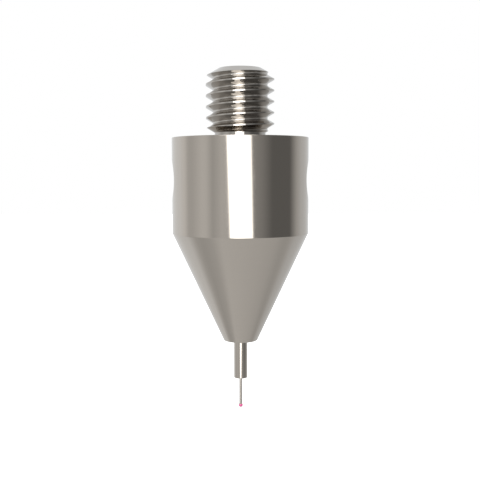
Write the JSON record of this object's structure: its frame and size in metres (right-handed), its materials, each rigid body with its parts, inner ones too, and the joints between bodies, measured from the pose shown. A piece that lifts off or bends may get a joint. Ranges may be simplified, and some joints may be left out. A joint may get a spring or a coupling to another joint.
{
  "type": "cmm stylus",
  "caption": "Straight stylus for a coordinate measuring machine: threaded stud, round steel holder with conical nose and cross hole, thin carbide stem, ruby ball tip.",
  "frame": {"origin": "on the stylus axis in the seat face, the flat ring around the stud that meets the probe", "axes": "+Z along the threaded stud, so the ball hangs at the far end of -Z; +X along the cross hole"},
  "size_m": [0.01, 0.01, 0.0252],
  "materials": {
    "holder_steel": "fine turned and polished stainless steel",
    "sleeve_steel": "ground stainless steel",
    "carbide": "ground tungsten carbide",
    "ruby": "polished synthetic ruby, pink-red",
    "adhesive": "clear cured epoxy"
  },
  "bodies": {
    "root": {"holder": "holder_steel", "stem_sleeve": "sleeve_steel", "stem": "carbide", "ruby_ball": "ruby", "sleeve_adhesive": "adhesive", "stem_adhesive": "adhesive", "ball_adhesive": "adhesive"}
  },
  "joints": []
}
